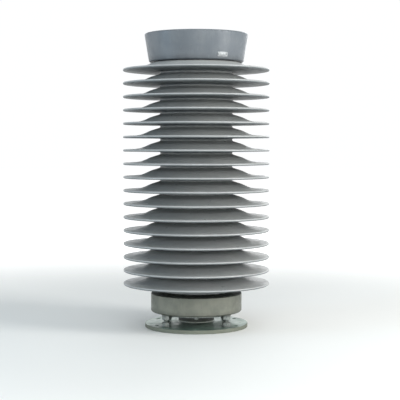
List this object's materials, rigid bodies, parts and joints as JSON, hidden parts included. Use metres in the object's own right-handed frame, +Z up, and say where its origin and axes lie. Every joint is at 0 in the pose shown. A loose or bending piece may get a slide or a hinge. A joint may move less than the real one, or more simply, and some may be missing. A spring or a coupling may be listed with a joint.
{
  "type": "porcelain insulator",
  "caption": "Hollow porcelain post insulator with equal thin sheds, a flared cast cap, a cast collar and a round base plate held off on studs.",
  "frame": {"origin": "centre of the base plate's underside, on the surface it stands on", "axes": "+Z up the insulator's own axis towards the cap, -Y towards the front, +Y where the filling valve points"},
  "size_m": [0.61, 0.61, 1.22],
  "materials": {
    "glaze": "light grey glaze",
    "cap_paint": "blue-grey paint on cast aluminium",
    "collar_casting": "weathered sand casting",
    "zinc_plate": "bright zinc plating",
    "galvanised_steel": "hot-dip galvanised",
    "black_paint": "satin black-olive paint",
    "brass": "turned",
    "bare_aluminium": "brushed",
    "sealant": "satin",
    "rubber": "matte",
    "cement": "matte Portland cement"
  },
  "bodies": {
    "root": {"porcelain_housing": "glaze", "collar": "collar_casting", "collar_cement": "cement", "collar_cushion_ring": "rubber", "collar_sealant_bead": "sealant", "lower_closing_plate": "galvanised_steel", "lower_seal_ring": "rubber", "cap": "cap_paint", "cap_cement": "cement", "cap_cushion_ring": "rubber", "cap_sealant_bead": "sealant", "top_cover": "galvanised_steel", "upper_seal_ring": "rubber", "rating_plate": "bare_aluminium", "rating_rivet_1": "bare_aluminium", "rating_rivet_2": "bare_aluminium", "base_plate": "zinc_plate", "desiccant_canister": "black_paint", "desiccant_cartridge": "bare_aluminium", "filling_valve": "brass", "filling_valve_cap": "brass", "cover_bolt_1": "galvanised_steel", "closing_bolt_1": "galvanised_steel", "cover_bolt_2": "galvanised_steel", "closing_bolt_2": "galvanised_steel", "cover_bolt_3": "galvanised_steel", "closing_bolt_3": "galvanised_steel", "cover_bolt_4": "galvanised_steel", "closing_bolt_4": "galvanised_steel", "cover_bolt_5": "galvanised_steel", "closing_bolt_5": "galvanised_steel", "cover_bolt_6": "galvanised_steel", "closing_bolt_6": "galvanised_steel", "stud_1": "galvanised_steel", "plate_washer_1": "galvanised_steel", "plate_nut_1": "galvanised_steel", "collar_nut_1": "galvanised_steel", "collar_washer_1": "galvanised_steel", "stud_2": "galvanised_steel", "plate_washer_2": "galvanised_steel", "plate_nut_2": "galvanised_steel", "collar_nut_2": "galvanised_steel", "collar_washer_2": "galvanised_steel", "stud_3": "galvanised_steel", "plate_washer_3": "galvanised_steel", "plate_nut_3": "galvanised_steel", "collar_nut_3": "galvanised_steel", "collar_washer_3": "galvanised_steel", "stud_4": "galvanised_steel", "plate_washer_4": "galvanised_steel", "plate_nut_4": "galvanised_steel", "collar_nut_4": "galvanised_steel", "collar_washer_4": "galvanised_steel"}
  },
  "joints": []
}
